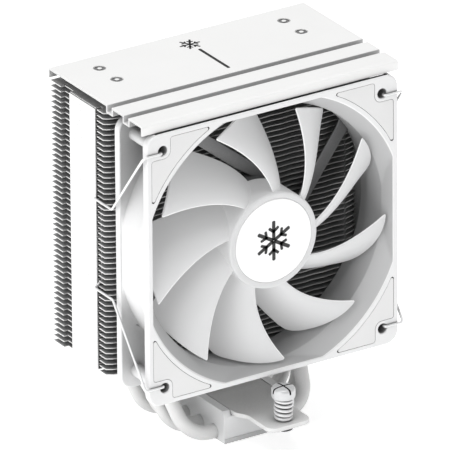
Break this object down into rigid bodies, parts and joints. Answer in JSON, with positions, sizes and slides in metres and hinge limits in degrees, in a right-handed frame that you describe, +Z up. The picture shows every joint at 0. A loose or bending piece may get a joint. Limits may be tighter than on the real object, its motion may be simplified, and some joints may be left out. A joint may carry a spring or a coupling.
{
  "type": "cpu tower cooler",
  "caption": "Finned tower on U-shaped heat pipes with a grooved top cover, an axial fan held by wire clips, and a base block with a cross bar and spring screws.",
  "frame": {"origin": "centre of the base block's contact face", "axes": "+Z up away from the processor, -Y the way the fan faces, +X to the right as seen from the fan"},
  "size_m": [0.1252, 0.097, 0.1561],
  "materials": {
    "fin_paint": "white satin paint over thin aluminium sheet",
    "cover_paint": "white satin paint over aluminium sheet",
    "pipe_paint": "white paint over copper pipe",
    "bar_paint": "white satin paint over steel",
    "frame_plastic": "white moulded plastic, satin",
    "blade_plastic": "translucent white moulded plastic",
    "hub_plastic": "white gloss disc",
    "pad_rubber": "white soft rubber",
    "block_metal": "satin machined aluminium",
    "plain_steel": "plain steel",
    "white_steel": "white coated steel wire and screws",
    "bearing_brass": "plain brass",
    "coil_copper": "enamelled copper winding",
    "magnet_ferrite": "dark ferrite",
    "board_green": "green circuit board"
  },
  "bodies": {
    "heatsink": {"base_block": "block_metal", "heat_pipe_1": "pipe_paint", "heat_pipe_2": "pipe_paint", "heat_pipe_3": "pipe_paint", "heat_pipe_4": "pipe_paint", "mounting_bar": "bar_paint", "bar_screw_1": "plain_steel", "bar_screw_2": "plain_steel", "screw_spring_front": "white_steel", "screw_spring_rear": "white_steel", "fin_stack": "fin_paint", "top_cover": "cover_paint", "cover_rivet_1": "cover_paint", "cover_rivet_2": "cover_paint", "cover_rivet_3": "cover_paint", "cover_rivet_4": "cover_paint", "fan_frame": "frame_plastic", "fan_pad_front_1": "pad_rubber", "fan_pad_rear_1": "pad_rubber", "stator_coil_1": "coil_copper", "fan_pad_front_2": "pad_rubber", "fan_pad_rear_2": "pad_rubber", "stator_coil_2": "coil_copper", "fan_pad_front_3": "pad_rubber", "fan_pad_rear_3": "pad_rubber", "stator_coil_3": "coil_copper", "fan_pad_front_4": "pad_rubber", "fan_pad_rear_4": "pad_rubber", "stator_coil_4": "coil_copper", "bearing_tube": "bearing_brass", "bearing_front": "plain_steel", "bearing_rear": "plain_steel", "stator_core": "plain_steel", "motor_board": "board_green"},
    "impeller": {"impeller": "blade_plastic", "hub_medallion": "hub_plastic", "rotor_cup": "plain_steel", "magnet_ring": "magnet_ferrite", "shaft": "plain_steel", "shaft_clip": "plain_steel"},
    "clip_left": {"fan_clip_left": "white_steel"},
    "clip_right": {"fan_clip_right": "white_steel"},
    "screw_carrier_front": {"retaining_ring_front": "plain_steel"},
    "screw_front": {"spring_screw_front": "white_steel"},
    "screw_carrier_rear": {"retaining_ring_rear": "plain_steel"},
    "screw_rear": {"spring_screw_rear": "white_steel"}
  },
  "joints": [
    {"name": "impeller_spin", "type": "hinge", "parent": "heatsink", "child": "impeller", "pos_m": [0, -0.023, 0.0915], "axis": [0, -1, 0], "continuous": true},
    {"name": "clip_left_swing", "type": "hinge", "parent": "heatsink", "child": "clip_left", "pos_m": [-0.0525, -0.0364, 0.0915], "axis": [0, 0, 1], "range_deg": [0, 25], "stiffness_Nm_per_rad": 0.05},
    {"name": "clip_right_swing", "type": "hinge", "parent": "heatsink", "child": "clip_right", "pos_m": [0.0525, -0.0364, 0.0915], "axis": [0, 0, -1], "range_deg": [0, 25], "stiffness_Nm_per_rad": 0.05},
    {"name": "screw_front_press", "type": "slide", "parent": "heatsink", "child": "screw_carrier_front", "axis": [0, 0, 1], "range_m": [-0.0022, 0], "stiffness_N_per_m": 2500, "springref_m": 0.002, "deforming": ["screw_spring_front"]},
    {"name": "screw_front_turn", "type": "hinge", "parent": "screw_carrier_front", "child": "screw_front", "pos_m": [0, -0.0421, 0.02], "axis": [0, 0, 1], "continuous": true},
    {"name": "screw_rear_press", "type": "slide", "parent": "heatsink", "child": "screw_carrier_rear", "axis": [0, 0, 1], "range_m": [-0.0022, 0], "stiffness_N_per_m": 2500, "springref_m": 0.002, "deforming": ["screw_spring_rear"]},
    {"name": "screw_rear_turn", "type": "hinge", "parent": "screw_carrier_rear", "child": "screw_rear", "pos_m": [0, 0.0421, 0.02], "axis": [0, 0, 1], "continuous": true}
  ]
}
